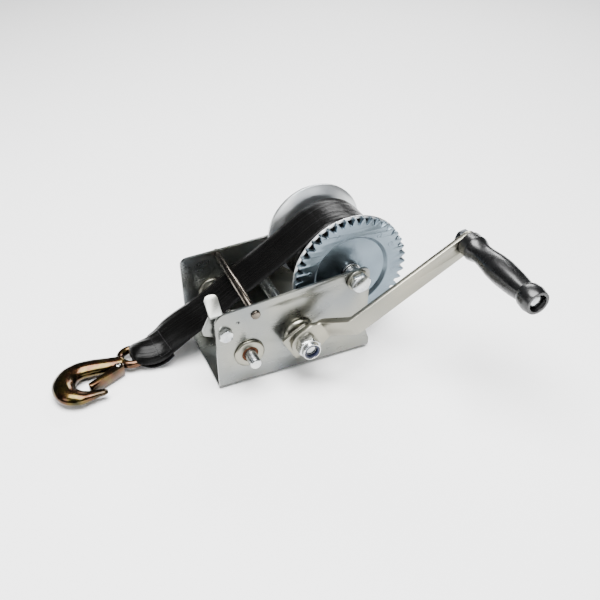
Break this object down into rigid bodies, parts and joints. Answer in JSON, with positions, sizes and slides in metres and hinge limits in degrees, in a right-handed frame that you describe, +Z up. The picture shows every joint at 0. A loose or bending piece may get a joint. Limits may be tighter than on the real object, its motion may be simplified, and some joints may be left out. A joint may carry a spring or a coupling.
{
  "type": "boat trailer winch",
  "caption": "Hand winch with a bent channel frame, a geared strap drum, a second shaft with a ratchet and pawl, a joggled crank with a turning grip, and a webbing strap with a snap hook.",
  "frame": {"origin": "centre of the underside of the frame's base, between its side plates", "axes": "+X from the hook end towards the drum end, -Y towards the crank and gear side, +Z up from the base; all shafts run along Y"},
  "size_m": [0.4255, 0.288, 0.1585],
  "materials": {
    "zinc_plate": "bright zinc plate on sheet steel, satin",
    "zinc_plate_gear": "blue-grey zinc plate on punched gears, satin",
    "bright_steel": "bright zinc-plated fasteners and turned shafts",
    "bronze_bush": "sintered bronze, oiled",
    "chromate_hook": "forged steel with yellow chromate over zinc, glossy brown and gold",
    "grip_plastic": "moulded black plastic, satin gloss",
    "blue_nylon": "nylon locking ring",
    "black_webbing": "woven polyester webbing, tight weave with a slight sheen"
  },
  "bodies": {
    "frame": {"frame_channel": "zinc_plate", "spacer_rod": "bright_steel", "drum_axle_tube": "bright_steel", "drum_washer_near": "zinc_plate", "drum_washer_far": "zinc_plate", "drum_bolt": "bright_steel", "drum_bolt_nut": "bright_steel", "crank_cup_near": "zinc_plate", "crank_cup_far": "zinc_plate", "crank_bush_near": "bronze_bush", "crank_bush_far": "bronze_bush", "second_cup_near": "zinc_plate", "second_cup_far": "zinc_plate", "second_bush_near": "bronze_bush", "second_bush_far": "bronze_bush", "pawl_bolt": "bright_steel", "pawl_nut": "bright_steel", "pawl_spring": "bright_steel", "strap_tail": "black_webbing"},
    "drum": {"drum_gear": "zinc_plate_gear", "near_flange": "zinc_plate", "drum_barrel": "zinc_plate", "far_flange": "zinc_plate", "drum_bush_near": "bright_steel", "drum_bush_far": "bright_steel", "strap_anchor_bolt": "bright_steel", "strap_anchor_nut": "bright_steel", "strap_roll": "black_webbing"},
    "crank": {"crank_shaft": "bright_steel", "crank_pinion": "zinc_plate_gear", "counter_gear": "zinc_plate_gear", "crank_washer": "zinc_plate", "crank_clip": "bright_steel", "crank_arm": "zinc_plate", "arm_backing_plate": "zinc_plate", "inner_backing_plate": "zinc_plate", "crank_lock_nut": "bright_steel", "nut_insert": "blue_nylon", "grip_bolt": "bright_steel", "grip_nut": "bright_steel"},
    "grip": {"grip": "grip_plastic"},
    "second_shaft": {"second_shaft": "bright_steel", "low_pinion": "zinc_plate_gear", "ratchet_wheel": "zinc_plate_gear", "second_clip": "bright_steel"},
    "pawl": {"pawl_lever": "zinc_plate"},
    "hook": {"hook": "chromate_hook", "latch_pin": "bright_steel"},
    "latch": {"hook_latch": "chromate_hook"}
  },
  "joints": [
    {"name": "drum_spin", "type": "hinge", "parent": "frame", "child": "drum", "pos_m": [0.0695, 0, 0.0953], "axis": [0, 1, 0], "continuous": true},
    {"name": "crank_spin", "type": "hinge", "parent": "frame", "child": "crank", "pos_m": [0.0039, 0, 0.0478], "axis": [0, 1, 0], "continuous": true},
    {"name": "second_spin", "type": "hinge", "parent": "frame", "child": "second_shaft", "pos_m": [-0.0504, 0, 0.039], "axis": [0, 1, 0], "continuous": true},
    {"name": "grip_spin", "type": "hinge", "parent": "crank", "child": "grip", "pos_m": [0.1688, 0, 0.1385], "axis": [0, 1, 0], "continuous": true},
    {"name": "pawl_lift", "type": "hinge", "parent": "frame", "child": "pawl", "pos_m": [-0.0742, 0, 0.0703], "axis": [0, -1, 0], "range_deg": [0, 20], "stiffness_Nm_per_rad": 0.05, "springref_deg": -11.46},
    {"name": "hook_swing", "type": "hinge", "parent": "frame", "child": "hook", "pos_m": [-0.1435, 0.017, 0.0086], "axis": [0, 1, 0], "range_deg": [0, 70]},
    {"name": "latch_open", "type": "hinge", "parent": "hook", "child": "latch", "pos_m": [-0.1735, 0.0022, 0.0086], "axis": [0, 0, -1], "range_deg": [0, 24], "stiffness_Nm_per_rad": 0.01, "springref_deg": -17.19}
  ],
  "couplings": [
    {"joint": "crank_spin", "follows": "drum_spin", "ratio": -2.8571},
    {"joint": "second_spin", "follows": "drum_spin", "ratio": 7.619}
  ]
}
